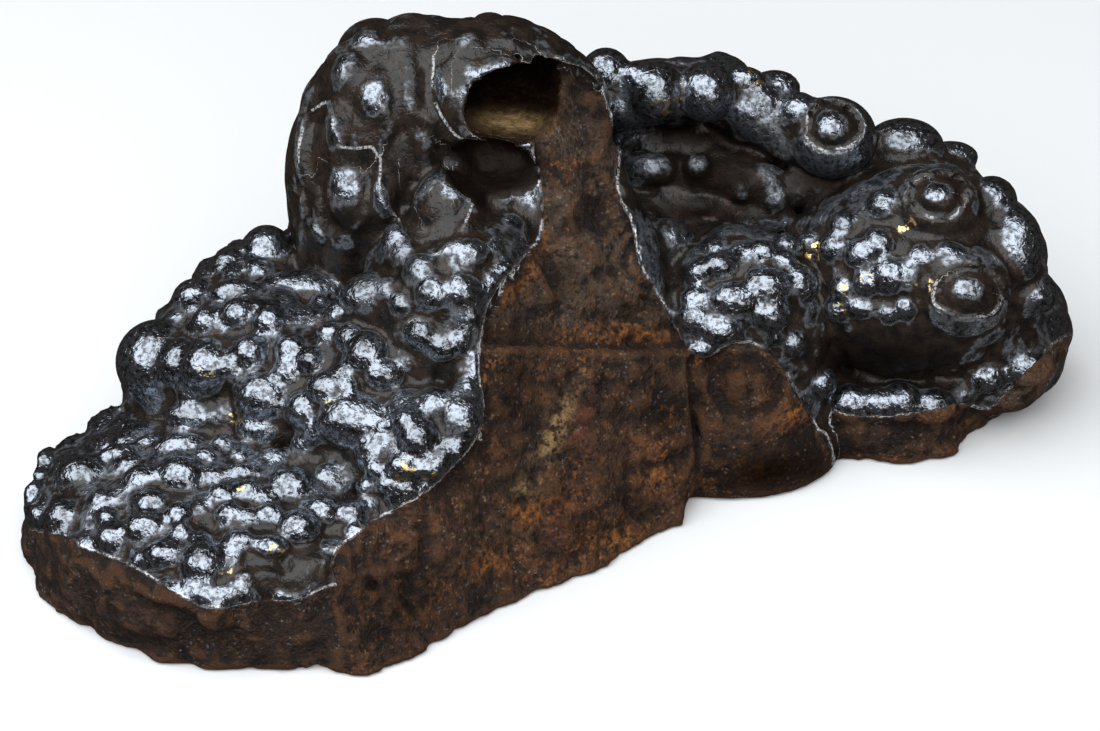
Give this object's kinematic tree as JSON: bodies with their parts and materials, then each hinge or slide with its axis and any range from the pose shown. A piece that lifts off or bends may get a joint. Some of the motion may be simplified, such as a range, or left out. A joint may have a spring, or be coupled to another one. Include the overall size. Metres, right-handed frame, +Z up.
{
  "type": "botryoidal hematite specimen",
  "caption": "Natural stone of rounded, lumpy growth with terraces, a tall draped mass with a hollow, stacked ridges and brown fracture faces, cut flat under its base.",
  "frame": {"origin": "on the flat base, under the middle of the bounding box", "axes": "X along the stone from the low terraces to the lobe, Y from the broken front to the back, Z up from the base"},
  "size_m": [0.163, 0.102, 0.0711],
  "materials": {
    "hematite_crust": "glossy submetallic natural crust, dull brown where broken"
  },
  "bodies": {
    "root": {"hematite_stone": "hematite_crust"}
  },
  "joints": []
}
